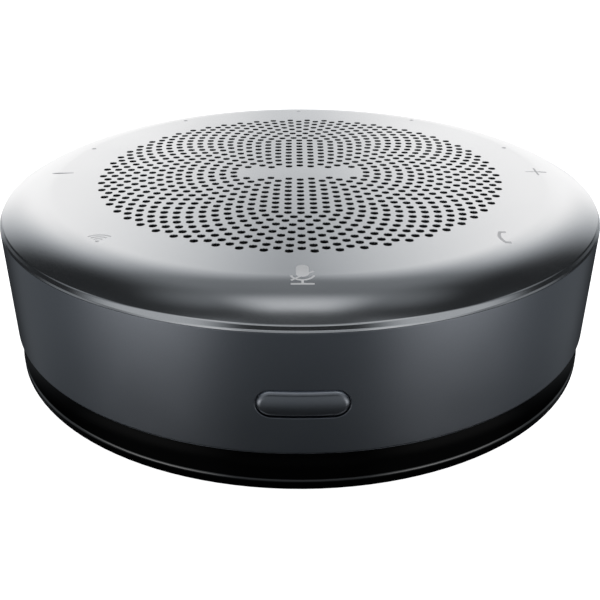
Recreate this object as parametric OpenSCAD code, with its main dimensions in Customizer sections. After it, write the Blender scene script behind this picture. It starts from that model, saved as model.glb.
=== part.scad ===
// Round conference speakerphone. A perforated metal cover and a tapered sleeve stand on a
// black skirted base. Inside are one loudspeaker, four microphones, a battery and boards.
// +Z is up, the front with the button faces -Y, and the origin is on the table under the centre.

/* [Housing] */
// Diameter of the housing at the seam under the cover
body_d = 128; // [127:0.25:130]
// Height from the table to the flat top
total_h = 37; // [36.8:0.1:38]
// Thickness of the metal cover
cover_t = 1.2; // [1:0.1:1.3]
// Radius by which the flat top is smaller than the housing
shoulder_w = 11.3; // [11:0.1:11.6]
// Height of the curved shoulder from the flat top down to its crisp edge
shoulder_h = 3.7; // [3.4:0.1:4]
// Height from the flat top down to the seam between cover and sleeve
seam_drop = 4.84; // [4.7:0.02:5]
// How much the sleeve narrows in radius towards its lower edge
sleeve_taper = 0.28; // [0:0.02:0.4]
// Height of the sleeve's lower edge above the table
sleeve_z = 8.5; // [8:0.1:8.8]
// How far the rubber foot stands proud of the base
foot_proud = 0.66; // [0.4:0.02:0.8]

/* [Grille] */
// Diameter of one sound hole
hole_d = 1.55; // [1.2:0.05:1.7]
// Radial pitch of the inner rings, which carry six more holes on each ring
inner_pitch = 2.44; // [2.3:0.02:2.5]
// Number of inner rings out to the first ring of constant count
inner_rings = 10; // [8:1:10]
// Number of outer rings, staggered by half a step
outer_rings = 11; // [8:1:11]
// Radial pitch of the first outer ring
outer_pitch = 2.17; // [2:0.01:2.2]
// How much each following outer pitch is smaller than the one before
pitch_shrink = 0.097; // [0.08:0.001:0.12]
// Half width of the plain lozenge at the grille's centre
lozenge_w = 13.4; // [12:0.1:14]
// Half height of the plain lozenge
lozenge_h = 3; // [2.6:0.1:3.4]

/* [Touch icons] */
// Radius of the circle on which the touch icons and the level dots lie
icon_ring_r = 52.2; // [51.8:0.1:52.6]
// Width of an icon's stroke
icon_stroke = 0.42; // [0.35:0.01:0.5]
// Diameter of a level dot
dot_d = 1.05; // [0.9:0.05:1.2]

/* [Power button] */
// Width of the button
button_w = 15.6; // [14:0.1:16]
// Height of the button
button_h = 5.1; // [4.6:0.1:5.4]
// Height of the button's centre above the table
button_z = 18.7; // [18:0.1:19.5]
// Gap between the button and the edge of its hole
button_gap = 0.25; // [0.2:0.05:0.35]
// How far the button stands proud of the sleeve
button_proud = 0.4; // [0.3:0.05:0.5]

/* [Loudspeaker] */
// Radius of the loudspeaker's mounting flange
flange_r = 36.6; // [36:0.1:37]
// Radius of the middle pole inside the voice coil
pole_r = 9.45; // [9.3:0.05:9.45]
// Radius of the magnet ring
magnet_r = 20.5; // [19:0.5:21]

/* [Electronics] */
// Radius of the round main board
main_board_r = 46; // [44:0.5:46]
// Length of the battery pack
battery_l = 52; // [40:1:54]
// Width of the battery pack
battery_w = 36; // [30:1:40]
// Thickness of the battery pack
battery_t = 5.2; // [4:0.1:5.4]
// Width of the socket for the cable's plug
socket_w = 8.94; // [8.8:0.02:9.2]
// Height of the socket
socket_h = 3.16; // [3:0.02:3.3]

/* [Hidden] */

// Fineness of large rounds, arcs in outlines, small rounds, sound holes and wires
$fn = 96;
fn_arc = 48;
fn_small = 32;
fn_hole = 24;
fn_wire = 16;
// Smallest gap between two pieces, and how deep a post or rib roots in its wall
tiny = 0.02;
root = 0.5;

// Heights of the housing
cover_under_z = total_h - cover_t;
cloth_t = 0.3;
edge_z = total_h - shoulder_h;
seam_z = total_h - seam_drop;

// Radii of the housing
body_r = body_d / 2;
flat_r = body_r - shoulder_w;
edge_r = body_r - 0.55;
sleeve_in_r = body_r - 1.6;
sleeve_foot_r = body_r - sleeve_taper;
rim_r = sleeve_in_r - 0.1;
rim_t = 1.2;
rim_z = seam_z - 4;
hem_r = body_r - 3;
hem_t = 1.2;
grille_r = 46;
shoulder_reach = 4.9;
seam_break = 0.1;
lip_w = 0.25;
shoulder = bend([flat_r, total_h], [flat_r + shoulder_reach, total_h], [edge_r, edge_z]);
lip = [[body_r - lip_w, seam_z + seam_break + lip_w], [body_r, seam_z + seam_break]];
pocket_depth = cover_t * 0.4;

// Base
base_z = foot_proud;
lip_r = body_r - 0.55;
lip_z = 2.7;
skirt_r = body_r - 2.1;
spigot_r = hem_r - 0.1;
spigot_h = 2.9;
base_in_r = spigot_r - 1.5;
floor_z = 2.9;
foot_in_r = 55.5;
foot_out_r = 60.5;
foot_top_z = 1.86;
foot_edge = 0.3;

// Screws: two sizes for thin plates, and a long one up through the base's columns
small_head_r = 1.9;
small_head_h = 1;
small_screw_r = 0.98;
board_screw_r = 0.78;
base_screw_z = 1.66;
base_screw_head_r = 2.5;
base_screw_head_h = 2;
base_screw_r = 1.25;
base_screw_l = 16;

// Inner frame, hung from the cover
deck_z = cover_under_z - 2.4;
deck_t = 1.5;
deck_r = rim_r - rim_t - 1.1;
baffle_z = deck_z - 3.4;
baffle_t = 1.6;
chamber_r = 44;
chamber_t = 1.5;
opening_r = 30;
post_r = 2.2;
post_ring_r = 47.9;
column_r = 3.2;
column_ring_r = 50;
column_z = 12.2;
column_angles = [45, 135, 225, 315];
post_angles = [18, 90, 162, 234, 306];

// Loudspeaker, from its flange down
gasket_t = 0.4;
flange_z = baffle_z + gasket_t;
flange_t = 0.8;
flange_top = flange_z + flange_t;
basket_z = flange_z - 8.3;
plate_t = 2;
magnet_t = 3.8;
gap_r = pole_r + 1.15;
former_in_r = pole_r + 0.3;
former_out_r = former_in_r + 0.2;
spider_z = basket_z + 2.1;
spider_r = 21.8;
basket_in_r = 28.6;
basket_foot_r = 19.4;
cone_r = 25.4;
cone_t = 0.4;
terminal_size = [8, 6.2, 0.8];
terminal_at = [-4, -26];
speaker_screw_r = 34.4;

// Microphones, in the front chamber around the loudspeaker
mic_ring_r = 40.7;
mic_r = 2;
mic_wall = 0.85;
mic_h = 2.7;
boot_floor = 0.6;
boot_h = cover_under_z - cloth_t - 0.1 - baffle_z;

// Main board and what stands on it
board_z = 10.4;
board_t = 1.6;
board_top = board_z + board_t;
board_post_ring_r = 40;
tongue_w = 24;
tongue_y = body_r - 6;
plug_h = 2.6;
plug_w = 8;
plug_t = 5;
battery_plug_x = 38;
chip_at = [-33, 4];
chip_size = [10, 10, 1.1];
module_at = [24, 6];
module_size = [13, 18, 1];
can_at = [-34, -16];
can_size = [16, 13, 1.8];
flex_plug_r = 40;
flex_plug_h = 1.5;
button_plug_y = -44;
button_flex_w = 6;
button_flex_x = 3;
speaker_lead_y = -24.5;

// Touch board
touch_in_r = 50.3;
touch_out_r = 58.4;
touch_t = 1;
touch_top = deck_z + touch_t;
led_size = [0.8, 1.6, 0.6];
pipe_z = touch_top + led_size[2] + 0.2;
icon_angles = [0, 180, 225, 270, 315];
dot_angles = [20, 55, 90, 125, 160];
pad_r = 2;
flex_angle = 62;
flex_w = 8;
flex_r = 57.4;
flex_t = 0.25;

// Button, from the front back
button_front_r = body_r + button_proud - sleeve_taper / 2;
button_plate_y = -(sleeve_in_r - 1);
button_plate_t = 1;
button_rim = 1.2;
plunger_r = 1.5;
plunger_l = 1.5;
switch_size = 6;
switch_y = button_plate_y + button_plate_t + 1;
switch_t = 1.7;
button_board_t = 1.2;
button_board_size = [20, 10];
bracket_t = 1.5;

// Socket, through the rear wall
socket_y = body_r - 1;
socket_l = 9.2;
socket_z = board_top + socket_h / 2 + 0.05;

// Points of a curve that leaves p0 towards p1 and reaches p2 from there
function bend(p0, p1, p2, steps = 24) = [
    for (i = [0:steps])
        let (t = i / steps)
        p0 * (1 - t) * (1 - t) + p1 * 2 * t * (1 - t) + p2 * t * t
];

// Points of an arc round a centre, from one angle to another
function arc(centre, r, from, to, steps = 10) = [
    for (i = [0:steps])
        let (a = from + (to - from) * i / steps)
        centre + r * [cos(a), sin(a)]
];

// Radius of an outer ring of holes: each pitch is a little smaller than the one before
function outer_ring_r(k) =
    inner_rings * inner_pitch + k * outer_pitch - pitch_shrink * k * (k - 1) / 2;

// A hole belongs to the grille unless its centre lies in the plain lozenge
function in_lozenge(p) = abs(p[0]) < lozenge_w && abs(p[1]) < lozenge_h;

// ---------- Shared shapes ----------

// Copies its child to each angle, at one radius
module around(radius, angles) {
    for (a = angles)
        rotate([0, 0, a])
            translate([radius, 0, 0])
                children();
}

// Angles of equal steps round the axis
function steps_of(count, first = 0) = [for (i = [0:count - 1]) first + i * 360 / count];

// Flat ring lying at height z
module ring(out_r, in_r, z, t) {
    translate([0, 0, z])
        linear_extrude(t)
            difference() {
                circle(out_r);
                circle(in_r);
            }
}

// Outline with two half-round ends, lying along X
module stadium(w, h) {
    square([w - h, h], center = true);
    for (side = [-1, 1])
        translate([side * (w - h) / 2, 0])
            circle(h / 2, $fn = fn_arc);
}

// Turns a flat outline so that it faces along Y, and gives it a depth from y0 to y1
module face_along_y(y0, y1, z) {
    translate([0, y1, z])
        rotate([90, 0, 0])
            linear_extrude(y1 - y0)
                children();
}

// Screw standing on its head: a cheese head with a cross slot and a plain shank
module screw(head_r, head_h, shank_r, shank_l) {
    slot = [head_r * 1.24, head_r * 0.24, head_h / 2];
    difference() {
        cylinder(h = head_h, r = head_r, $fn = fn_small);
        for (turn = [0, 90])
            rotate([0, 0, turn])
                translate([-slot[0] / 2, -slot[1] / 2, -tiny])
                    cube(slot);
    }
    translate([0, 0, head_h])
        cylinder(h = shank_l, r = shank_r, $fn = fn_small);
}

// Quarter bend of round wire in the XZ plane: comes in along +X, turns up and leaves along +Z
module wire_bend(bend_r, wire_r) {
    translate([0, 0, bend_r])
        rotate([90, 0, 0])
            rotate([0, 0, -90])
                rotate_extrude(angle = 90)
                    translate([bend_r, 0])
                        circle(wire_r, $fn = fn_wire);
}

// ---------- Grille and icons ----------

module grille_holes() {
    for (k = [1:inner_rings])
        for (i = [0:6 * k - 1]) {
            a = 90 + i * 60 / k;
            p = k * inner_pitch * [cos(a), sin(a)];
            if (!in_lozenge(p))
                translate(p)
                    circle(d = hole_d, $fn = fn_hole);
        }
    for (k = [1:outer_rings])
        for (i = [0:6 * inner_rings - 1]) {
            step = 60 / inner_rings;
            a = 90 + (i + (k % 2) / 2) * step;
            translate(outer_ring_r(k) * [cos(a), sin(a)])
                circle(d = hole_d, $fn = fn_hole);
        }
}

module stroke(p, q, w = icon_stroke) {
    span = q - p;
    translate(p)
        rotate(atan2(span[1], span[0]))
            translate([0, -w / 2])
                square([norm(span), w]);
}

// Part of a thin ring between two angles under 180 degrees apart
module arc_stroke(r, from, to, w = icon_stroke) {
    reach = 2 * r;
    middle = (from + to) / 2;
    intersection() {
        difference() {
            circle(r + w / 2, $fn = fn_arc);
            circle(r - w / 2, $fn = fn_arc);
        }
        polygon([
            [0, 0],
            reach * [cos(from), sin(from)],
            reach * [cos(middle), sin(middle)],
            reach * [cos(to), sin(to)]
        ]);
    }
}

module icon_minus() {
    square([4.7, icon_stroke], center = true);
}

module icon_plus() {
    icon_minus();
    rotate(90)
        icon_minus();
}

// Handset seen from its side: a bowed grip with a short cup at each end
module icon_phone() {
    translate([4.65, 0])
        arc_stroke(5.4, 155, 205, 0.6);
    for (side = [-1, 1])
        translate([0.2, side * 2.3])
            square([1.3, 0.75], center = true);
}

// Radio waves leaving a point
module icon_wireless() {
    translate([0, -1.4]) {
        circle(0.4, $fn = fn_small);
        for (r = [1.15, 2.05, 2.95])
            arc_stroke(r, 45, 135);
    }
}

// Microphone on a stand with a stroke through it
module icon_microphone() {
    translate([0, 1.1])
        rotate(90)
            stadium(4.6, 2.1);
    translate([0, -0.2])
        arc_stroke(2, 195, 345);
    translate([0, -2.75])
        square([icon_stroke, 1.1], center = true);
    translate([0, -3.3])
        square([3.9, icon_stroke], center = true);
    stroke([-1.9, -2.3], [1.9, 0.9]);
}

module icons() {
    at = icon_ring_r;
    side = at * cos(45);
    translate([at, 0])
        icon_plus();
    translate([-at, 0])
        icon_minus();
    translate([0, -at])
        icon_microphone();
    translate([side, -side])
        icon_phone();
    translate([-side, -side])
        icon_wireless();
}

// ---------- Housing ----------

// Outer surface of the cover, closed at height z underneath
module cover_solid(z) {
    rotate_extrude()
        polygon(concat(
            [[0, z], [0, total_h]],
            shoulder,
            lip,
            [[body_r, z]]
        ));
}

module icon_pockets() {
    translate([0, 0, total_h - pocket_depth])
        linear_extrude(cover_t)
            icons();
}

module top_cover() {
    color("silver") {
        translate([0, 0, cover_under_z])
            linear_extrude(cover_t)
                difference() {
                    circle(grille_r);
                    grille_holes();
                }
        difference() {
            rotate_extrude()
                polygon(concat(
                    [[grille_r, cover_under_z], [grille_r, total_h]],
                    shoulder,
                    lip,
                    [
                        [body_r - seam_break, seam_z],
                        [rim_r, seam_z],
                        [rim_r, rim_z],
                        [rim_r - rim_t, rim_z]
                    ],
                    bend([rim_r - rim_t, edge_z - 0.2],
                        [flat_r + shoulder_reach - 0.3, cover_under_z],
                        [flat_r - 0.3, cover_under_z])
                ));
            icon_pockets();
            around(icon_ring_r, dot_angles)
                translate([0, 0, cover_under_z - 1])
                    cylinder(h = cover_t + 2, d = dot_d, $fn = fn_small);
        }
        around(post_ring_r, post_angles)
            translate([0, 0, deck_z])
                difference() {
                    cylinder(h = cover_under_z - deck_z + root, r = post_r, $fn = fn_small);
                    translate([0, 0, -1])
                        cylinder(h = cover_under_z - deck_z + 1 - tiny, r = 1, $fn = fn_small);
                }
    }
}

module icon_inlays() {
    color("gray")
        intersection() {
            icon_pockets();
            cover_solid(seam_z);
        }
}

// Light pipes that end flush with the flat top
module level_dots() {
    color("lightgray")
        around(icon_ring_r, dot_angles)
            translate([0, 0, pipe_z])
                cylinder(h = total_h - pipe_z, d = dot_d - tiny, $fn = fn_small);
}

module acoustic_cloth() {
    color("black")
        translate([0, 0, cover_under_z - cloth_t])
            cylinder(h = cloth_t, r = chamber_r + 1.2);
}

module side_sleeve() {
    corner = 0.45;
    color("slategray")
        difference() {
            rotate_extrude()
                polygon(concat(
                    [
                        [sleeve_in_r, seam_z],
                        [body_r - seam_break, seam_z],
                        [body_r, seam_z - seam_break]
                    ],
                    arc([sleeve_foot_r - corner, sleeve_z + corner], corner, 0, -90),
                    [
                        [hem_r, sleeve_z],
                        [hem_r, sleeve_z + hem_t],
                        [sleeve_in_r, sleeve_z + hem_t]
                    ]
                ));
            face_along_y(-body_r - 2, -hem_r + 6, button_z)
                stadium(button_w + 2 * button_gap, button_h + 2 * button_gap);
            face_along_y(hem_r - 6, body_r + 2, socket_z)
                stadium(socket_w + 0.4, socket_h + 0.4);
        }
}

// Floor with a flared skirt, a spigot for the sleeve, and posts for the frame and the board
module base_shell() {
    skirt_bow = 11.4;
    flare = asin((sleeve_z - lip_z - 0.2) / skirt_bow);
    lip_round = 0.5;
    skirt_steps = 20;
    color([0.04, 0.04, 0.045])
        difference() {
            union() {
                rotate_extrude()
                    polygon(concat(
                        [[0, base_z]],
                        arc([lip_r - lip_round, base_z + lip_round], lip_round, -90, 0),
                        bend(
                            [lip_r, lip_z - 0.3],
                            [lip_r, lip_z],
                            [skirt_r + skirt_bow * (1 - cos(flare)), lip_z + 0.2],
                            5
                        ),
                        [
                            for (i = [1:skirt_steps])
                                let (a = flare * (1 - i / skirt_steps))
                                [skirt_r + skirt_bow * (1 - cos(a)), sleeve_z - skirt_bow * sin(a)]
                        ],
                        [
                            [spigot_r, sleeve_z],
                            [spigot_r, sleeve_z + spigot_h],
                            [base_in_r, sleeve_z + spigot_h],
                            [base_in_r, floor_z],
                            [0, floor_z]
                        ]
                    ));
                around(column_ring_r, column_angles)
                    translate([0, 0, floor_z - root])
                        cylinder(h = column_z - floor_z + root, r = column_r, $fn = fn_small);
                around(board_post_ring_r, column_angles)
                    translate([0, 0, floor_z - root])
                        cylinder(h = board_z - floor_z + root, r = 2.5, $fn = fn_small);
                battery_fence();
            }
            ring(foot_out_r + 0.1, foot_in_r - 0.1, 0, foot_top_z);
            around(column_ring_r, column_angles) {
                cylinder(
                    h = base_screw_z + base_screw_head_h,
                    r = base_screw_head_r + 0.25,
                    $fn = fn_small
                );
                cylinder(h = column_z + 1, r = base_screw_r + 0.25, $fn = fn_small);
            }
            around(board_post_ring_r, column_angles)
                translate([0, 0, board_z - 5])
                    cylinder(h = 6, r = board_screw_r + tiny, $fn = fn_small);
        }
}

// Low wall round the battery, open at one end for the leads
module battery_fence() {
    wall = 1.2;
    slack = 0.3;
    fence_h = 3;
    gate_w = 16;
    in_size = [battery_l + 2 * slack, battery_w + 2 * slack];
    translate([0, 0, floor_z - root])
        linear_extrude(fence_h + root)
            difference() {
                square([in_size[0] + 2 * wall, in_size[1] + 2 * wall], center = true);
                square(in_size, center = true);
                translate([in_size[0] / 2, 0])
                    square([4 * wall, gate_w], center = true);
            }
}

module foot_ring() {
    color([0.1, 0.1, 0.1])
        rotate_extrude()
            polygon([
                [foot_in_r, foot_top_z],
                [foot_in_r, foot_edge],
                [foot_in_r + foot_edge, 0],
                [foot_out_r - foot_edge, 0],
                [foot_out_r, foot_edge],
                [foot_out_r, foot_top_z]
            ]);
}

module base_screws() {
    color("silver")
        around(column_ring_r, column_angles)
            translate([0, 0, base_screw_z])
                screw(base_screw_head_r, base_screw_head_h, base_screw_r, base_screw_l);
}

// ---------- Inner frame ----------

// Baffle for the loudspeaker, wall of the front chamber, deck for the touch board,
// columns down to the base and a bracket behind the button
module inner_frame() {
    bracket_y = switch_y + switch_t + button_board_t;
    bracket_w = 22;
    bracket_z = 13.2;
    color([0.25, 0.25, 0.27])
        difference() {
            union() {
                ring(chamber_r + chamber_t, opening_r, baffle_z - baffle_t, baffle_t);
                ring(chamber_r + chamber_t, chamber_r, baffle_z - baffle_t, deck_z - baffle_z + baffle_t);
                ring(deck_r, chamber_r, deck_z - deck_t, deck_t);
                around(column_ring_r, column_angles)
                    translate([0, 0, column_z])
                        cylinder(h = deck_z - column_z - tiny, r = column_r, $fn = fn_small);
                translate([-bracket_w / 2, bracket_y, bracket_z])
                    cube([bracket_w, bracket_t, deck_z - bracket_z - tiny]);
            }
            around(column_ring_r, column_angles)
                translate([0, 0, column_z - 1])
                    cylinder(h = 9.5, r = base_screw_r + tiny, $fn = fn_small);
            around(post_ring_r, post_angles)
                translate([0, 0, deck_z - 3])
                    cylinder(h = 4, r = small_screw_r + 0.22, $fn = fn_small);
            around(speaker_screw_r, steps_of(4))
                translate([0, 0, baffle_z - 3])
                    cylinder(h = 4, r = small_screw_r + tiny, $fn = fn_small);
            flex_slot();
        }
}

// Way for the touch board's ribbon through the deck
module flex_slot() {
    slot = [1.6, flex_w + 1.6, 4];
    rotate([0, 0, flex_angle])
        translate([flex_r - slot[0] / 2, -slot[1] / 2, deck_z - 3])
            cube(slot);
}

module frame_screws() {
    color("silver")
        around(post_ring_r, post_angles)
            translate([0, 0, deck_z - deck_t - small_head_h])
                screw(small_head_r, small_head_h, small_screw_r, 3.6);
}

module touch_board() {
    color("darkgreen")
        ring(touch_out_r, touch_in_r, deck_z, touch_t);
}

// Sensing pads between the touch board and the cover, one under each icon
module touch_pads() {
    color([0.2, 0.2, 0.2])
        around(icon_ring_r + 0.3, icon_angles)
            translate([0, 0, touch_top])
                cylinder(h = cover_under_z - touch_top - 0.2, r = pad_r, $fn = fn_small);
}

module level_leds() {
    color("white")
        around(icon_ring_r, dot_angles)
            translate([-led_size[0] / 2, -led_size[1] / 2, touch_top])
                cube(led_size);
}

// Rubber cups that keep the microphones apart from the housing
module microphone_boots() {
    color([0.15, 0.15, 0.15])
        around(mic_ring_r, column_angles)
            translate([0, 0, baffle_z])
                difference() {
                    cylinder(h = boot_h, r = mic_r + mic_wall, $fn = fn_small);
                    translate([0, 0, boot_floor])
                        cylinder(h = boot_h, r = mic_r + 0.05, $fn = fn_small);
                }
}

module microphone_capsules() {
    color("gold")
        around(mic_ring_r, column_angles)
            translate([0, 0, baffle_z + boot_floor])
                difference() {
                    cylinder(h = mic_h, r = mic_r, $fn = fn_small);
                    translate([0, 0, mic_h - 0.4])
                        cylinder(h = 1, r = mic_r * 0.3, $fn = fn_small);
                }
}

// ---------- Loudspeaker ----------

module speaker_basket() {
    window = [9, 12, 5];
    color("dimgray")
        difference() {
            rotate_extrude()
                polygon([
                    [flange_r, flange_z],
                    [flange_r, flange_top],
                    [basket_in_r, flange_top],
                    [basket_in_r, flange_top - 0.5],
                    [spider_r + 0.3, spider_z],
                    [basket_foot_r, spider_z],
                    [basket_foot_r, basket_z + flange_t],
                    [gap_r + 0.6, basket_z + flange_t],
                    [gap_r + 0.6, basket_z],
                    [spider_r + 0.5, basket_z],
                    [spider_r + 0.5, basket_z + 1.2],
                    [basket_in_r + flange_t, flange_z]
                ]);
            around((basket_in_r + spider_r) / 2, steps_of(6, 30))
                translate([-window[0] / 2, -window[1] / 2, spider_z + 0.5])
                    cube(window);
            around(speaker_screw_r, steps_of(4))
                translate([0, 0, flange_z - 1])
                    cylinder(h = 3, r = small_screw_r + 0.17, $fn = fn_small);
        }
}

module speaker_gasket() {
    color([0.12, 0.12, 0.12])
        difference() {
            ring(flange_r, opening_r, baffle_z, gasket_t);
            around(speaker_screw_r, steps_of(4))
                translate([0, 0, baffle_z - 1])
                    cylinder(h = 3, r = small_screw_r + 0.22, $fn = fn_small);
        }
}

// Screws with their heads up, through flange and gasket into the baffle
module speaker_screws() {
    color("silver")
        around(speaker_screw_r, steps_of(4))
            translate([0, 0, flange_top + small_head_h])
                rotate([180, 0, 0])
                    screw(small_head_r, small_head_h, small_screw_r, 2.7);
}

module speaker_terminal() {
    color("tan")
        translate([terminal_at[0], terminal_at[1], basket_z - terminal_size[2]])
            cube(terminal_size);
}

module magnet_top_plate() {
    color("lightsteelblue")
        ring(magnet_r - 1.5, gap_r, basket_z - plate_t, plate_t);
}

module magnet_ring() {
    color([0.2, 0.2, 0.22])
        ring(magnet_r, gap_r + 1.4, basket_z - plate_t - magnet_t, magnet_t);
}

// Back plate with the middle pole, vented along its axis
module magnet_yoke() {
    yoke_z = basket_z - 2 * plate_t - magnet_t;
    vent_r = 2;
    color("lightsteelblue")
        difference() {
            union() {
                translate([0, 0, yoke_z])
                    cylinder(h = plate_t, r = magnet_r - 0.5);
                translate([0, 0, yoke_z])
                    cylinder(h = basket_z - yoke_z, r = pole_r);
            }
            translate([0, 0, yoke_z - 1])
                cylinder(h = basket_z - yoke_z + 2, r = vent_r, $fn = fn_small);
        }
}

module speaker_cone() {
    neck_z = spider_z + 1.7;
    color([0.16, 0.16, 0.17])
        rotate_extrude()
            polygon([
                [former_out_r, neck_z],
                [former_out_r, neck_z + 0.6],
                [cone_r - 1.2, flange_top],
                [cone_r, flange_top],
                [cone_r, flange_top - cone_t],
                [cone_r - 1, flange_top - cone_t]
            ]);
}

module dust_cap() {
    cap_r = 14;
    cap_t = 0.3;
    cap_rim_r = 10.6;
    cap_z = spider_z + 2.75;
    color([0.1, 0.1, 0.1])
        intersection() {
            translate([0, 0, cap_z - sqrt(cap_r * cap_r - cap_rim_r * cap_rim_r)])
                difference() {
                    sphere(cap_r);
                    sphere(cap_r - cap_t);
                }
            translate([0, 0, cap_z])
                cylinder(h = cap_r, r = cap_r);
        }
}

// Thin former with the winding round its lower half
module voice_coil() {
    bottom_z = basket_z - plate_t - 1.8;
    winding_t = 0.3;
    winding_h = 4;
    color("orange")
        rotate_extrude()
            polygon([
                [former_in_r, bottom_z],
                [former_out_r + winding_t, bottom_z],
                [former_out_r + winding_t, bottom_z + winding_h],
                [former_out_r, bottom_z + winding_h],
                [former_out_r, spider_z + 2.3],
                [former_in_r, spider_z + 2.3]
            ]);
}

// Half-round rubber roll between the cone's rim and the basket's flange
module cone_surround() {
    t = 0.4;
    roll_r = 1.9;
    roll_at = [27.1, flange_top];
    color([0.08, 0.08, 0.08])
        rotate_extrude() {
            translate([cone_r - 1.1, flange_top])
                square([1.3, t]);
            translate([basket_in_r, flange_top])
                square([2.8, t]);
            intersection() {
                translate(roll_at)
                    difference() {
                        circle(roll_r, $fn = fn_arc);
                        circle(roll_r - t, $fn = fn_arc);
                    }
                translate([roll_at[0] - 2, roll_at[1]])
                    square([4, 2]);
            }
        }
}

// Corrugated cloth disc that keeps the coil in the middle of its gap
module coil_spider() {
    waves = 5;
    wave_h = 0.7;
    in_r = former_out_r;
    t = 0.35;
    step = (spider_r - 2.2 - in_r) / (2 * waves);
    function crest(i) = spider_z + (i % 2) * wave_h;
    color("goldenrod")
        rotate_extrude()
            polygon(concat(
                [for (i = [0:2 * waves]) [in_r + i * step, crest(i)]],
                [[spider_r, spider_z], [spider_r, spider_z + t]],
                [for (i = [2 * waves:-1:0]) [in_r + i * step, crest(i) + t]]
            ));
}

// ---------- Button ----------

// Pill-shaped cap that follows the round wall, with a retaining plate behind it
module power_button() {
    edge = 0.5;
    color("slategray") {
        intersection() {
            face_along_y(-body_r - 2, button_plate_y, button_z)
                stadium(button_w, button_h);
            translate([0, 0, button_z])
                rotate_extrude()
                    polygon(concat(
                        [[0, -button_h / 2]],
                        arc([button_front_r - edge, edge - button_h / 2], edge, -90, 0),
                        arc([button_front_r - edge, button_h / 2 - edge], edge, 0, 90),
                        [[0, button_h / 2]]
                    ));
        }
        face_along_y(button_plate_y, button_plate_y + button_plate_t, button_z)
            stadium(button_w + 2 * button_rim, button_h + 2 * button_rim);
    }
}

module switch_plunger() {
    start_y = button_plate_y + button_plate_t;
    color("ivory")
        face_along_y(start_y, start_y + plunger_l, button_z)
            circle(plunger_r, $fn = fn_small);
}

module button_switch() {
    color([0.15, 0.15, 0.15])
        difference() {
            face_along_y(switch_y, switch_y + switch_t, button_z)
                square(switch_size, center = true);
            face_along_y(switch_y - 1, switch_y + switch_t - 0.3, button_z)
                circle(plunger_r + 0.05, $fn = fn_small);
        }
}

module button_board() {
    color("darkgreen")
        face_along_y(switch_y + switch_t, switch_y + switch_t + button_board_t, button_z)
            square(button_board_size, center = true);
}

// ---------- Electronics ----------

module main_board() {
    color("darkgreen")
        difference() {
            translate([0, 0, board_z])
                linear_extrude(board_t) {
                    circle(main_board_r);
                    translate([-tongue_w / 2, 0])
                        square([tongue_w, tongue_y]);
                }
            around(board_post_ring_r, column_angles)
                translate([0, 0, board_z - 1])
                    cylinder(h = 4, r = 1.1, $fn = fn_small);
        }
}

// Screws with their heads up, through the main board into the posts of the base
module board_screws() {
    color("silver")
        around(board_post_ring_r, column_angles)
            translate([0, 0, board_top + small_head_h])
                rotate([180, 0, 0])
                    screw(small_head_r, small_head_h, board_screw_r, 5.6);
}

module audio_processor() {
    color([0.1, 0.1, 0.1])
        translate([chip_at[0], chip_at[1], board_top])
            cube(chip_size);
}

module wireless_module() {
    color("darkblue")
        translate([module_at[0], module_at[1], board_top])
            cube(module_size);
}

// Thin metal can over the power circuit
module shield_can() {
    t = 0.3;
    color("silver")
        translate([can_at[0], can_at[1], board_top])
            difference() {
                cube(can_size);
                translate([t, t, -1])
                    cube([can_size[0] - 2 * t, can_size[1] - 2 * t, can_size[2] + 1 - t]);
            }
}

// Housings of the plug connectors for battery, loudspeaker, touch board and button
module board_connectors() {
    color("white") {
        translate([battery_plug_x - plug_t, -plug_w / 2, board_top])
            cube([plug_t, plug_w, plug_h]);
        translate([-plug_w / 2, speaker_lead_y - plug_t / 2, board_top])
            cube([plug_w, plug_t, plug_h]);
        rotate([0, 0, flex_angle])
            translate([flex_plug_r, -flex_w / 2 - 1, board_top])
                cube([4, flex_w + 2, flex_plug_h]);
        translate([button_flex_x - 1, button_plug_y, board_top])
            cube([button_flex_w + 2, 3, 1]);
    }
}

// Metal shell with a contact tongue inside, its mouth flush in the rear wall
module usb_socket() {
    shell = 0.3;
    depth = 6.6;
    tongue = [6.7, 0.7];
    color("silver") {
        difference() {
            face_along_y(socket_y - socket_l, socket_y, socket_z)
                stadium(socket_w, socket_h);
            face_along_y(socket_y - depth, socket_y + 1, socket_z)
                stadium(socket_w - 2 * shell, socket_h - 2 * shell);
        }
        face_along_y(socket_y - depth - tiny, socket_y - 2.2, socket_z)
            square(tongue, center = true);
    }
}

module battery_pack() {
    color("silver")
        translate([-battery_l / 2, -battery_w / 2, floor_z + 0.4])
            cube([battery_l, battery_w, battery_t]);
}

module battery_pad() {
    color([0.3, 0.3, 0.3])
        translate([-battery_l / 2 + 2, -battery_w / 2 + 2, floor_z])
            cube([battery_l - 4, battery_w - 4, 0.4]);
}

// Two leads from the battery's end round the main board's edge to their plug
module battery_leads() {
    wire_r = 0.5;
    bend_r = 1.5;
    start_x = battery_l / 2;
    turn_x = main_board_r + 0.2;
    low_z = 6;
    high_z = board_top + 1.4;
    color("red")
        for (side = [-1, 1])
            translate([0, side * 1.5, 0]) {
                translate([start_x, 0, low_z])
                    rotate([0, 90, 0])
                        cylinder(h = turn_x - start_x, r = wire_r, $fn = fn_wire);
                translate([turn_x, 0, low_z])
                    wire_bend(bend_r, wire_r);
                translate([turn_x + bend_r, 0, low_z + bend_r])
                    cylinder(h = high_z - low_z - 2 * bend_r, r = wire_r, $fn = fn_wire);
                translate([turn_x, 0, high_z])
                    mirror([0, 0, 1])
                        wire_bend(bend_r, wire_r);
                translate([battery_plug_x, 0, high_z])
                    rotate([0, 90, 0])
                        cylinder(h = turn_x - battery_plug_x, r = wire_r, $fn = fn_wire);
            }
}

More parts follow.
